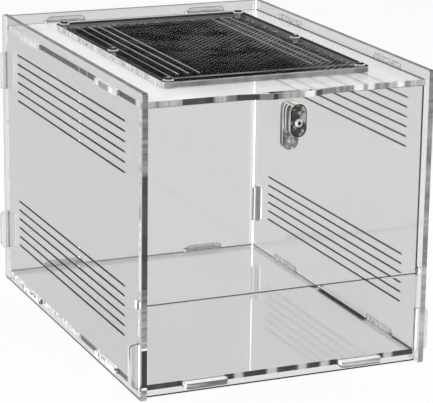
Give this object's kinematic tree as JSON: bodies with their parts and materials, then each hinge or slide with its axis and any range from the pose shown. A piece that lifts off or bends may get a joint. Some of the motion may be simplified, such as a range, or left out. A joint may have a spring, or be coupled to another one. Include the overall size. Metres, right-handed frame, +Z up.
{
  "type": "plastic pet keeper",
  "caption": "Clear box for a small pet, cut from flat interlocking sheets, with a drop-down front door, a turn-button latch and a screened roof vent.",
  "frame": {"origin": "under the middle of the whole object's bounding box, on the surface it stands on", "axes": "+Z up, -Y out through the front door, +X to the right seen from the front"},
  "size_m": [0.229, 0.3122, 0.214],
  "materials": {
    "clear_sheet": "clear polished acrylic sheet, laser-cut edges",
    "mesh": "fine dark woven mesh",
    "steel": "plated steel screws, nut and washer"
  },
  "bodies": {
    "case": {"left_panel": "clear_sheet", "right_panel": "clear_sheet", "back_panel": "clear_sheet", "floor_panel": "clear_sheet", "roof_panel": "clear_sheet", "front_lip": "clear_sheet", "vent_frame": "clear_sheet", "vent_cover": "clear_sheet", "vent_mesh": "mesh", "vent_screws": "steel"},
    "door": {"front_door": "clear_sheet", "latch_screw": "steel", "latch_washer": "steel", "latch_nut": "steel"},
    "latch": {"latch_cam": "clear_sheet", "knob_back": "clear_sheet", "knob_middle": "clear_sheet", "knob_front": "clear_sheet"}
  },
  "joints": [
    {"name": "door_hinge", "type": "hinge", "parent": "case", "child": "door", "pos_m": [0, -0.13608, 0.0672], "axis": [1, 0, 0], "range_deg": [0, 110]},
    {"name": "latch_turn", "type": "hinge", "parent": "door", "child": "latch", "pos_m": [0, -0.14, 0.188], "axis": [0, 1, 0], "continuous": true}
  ]
}
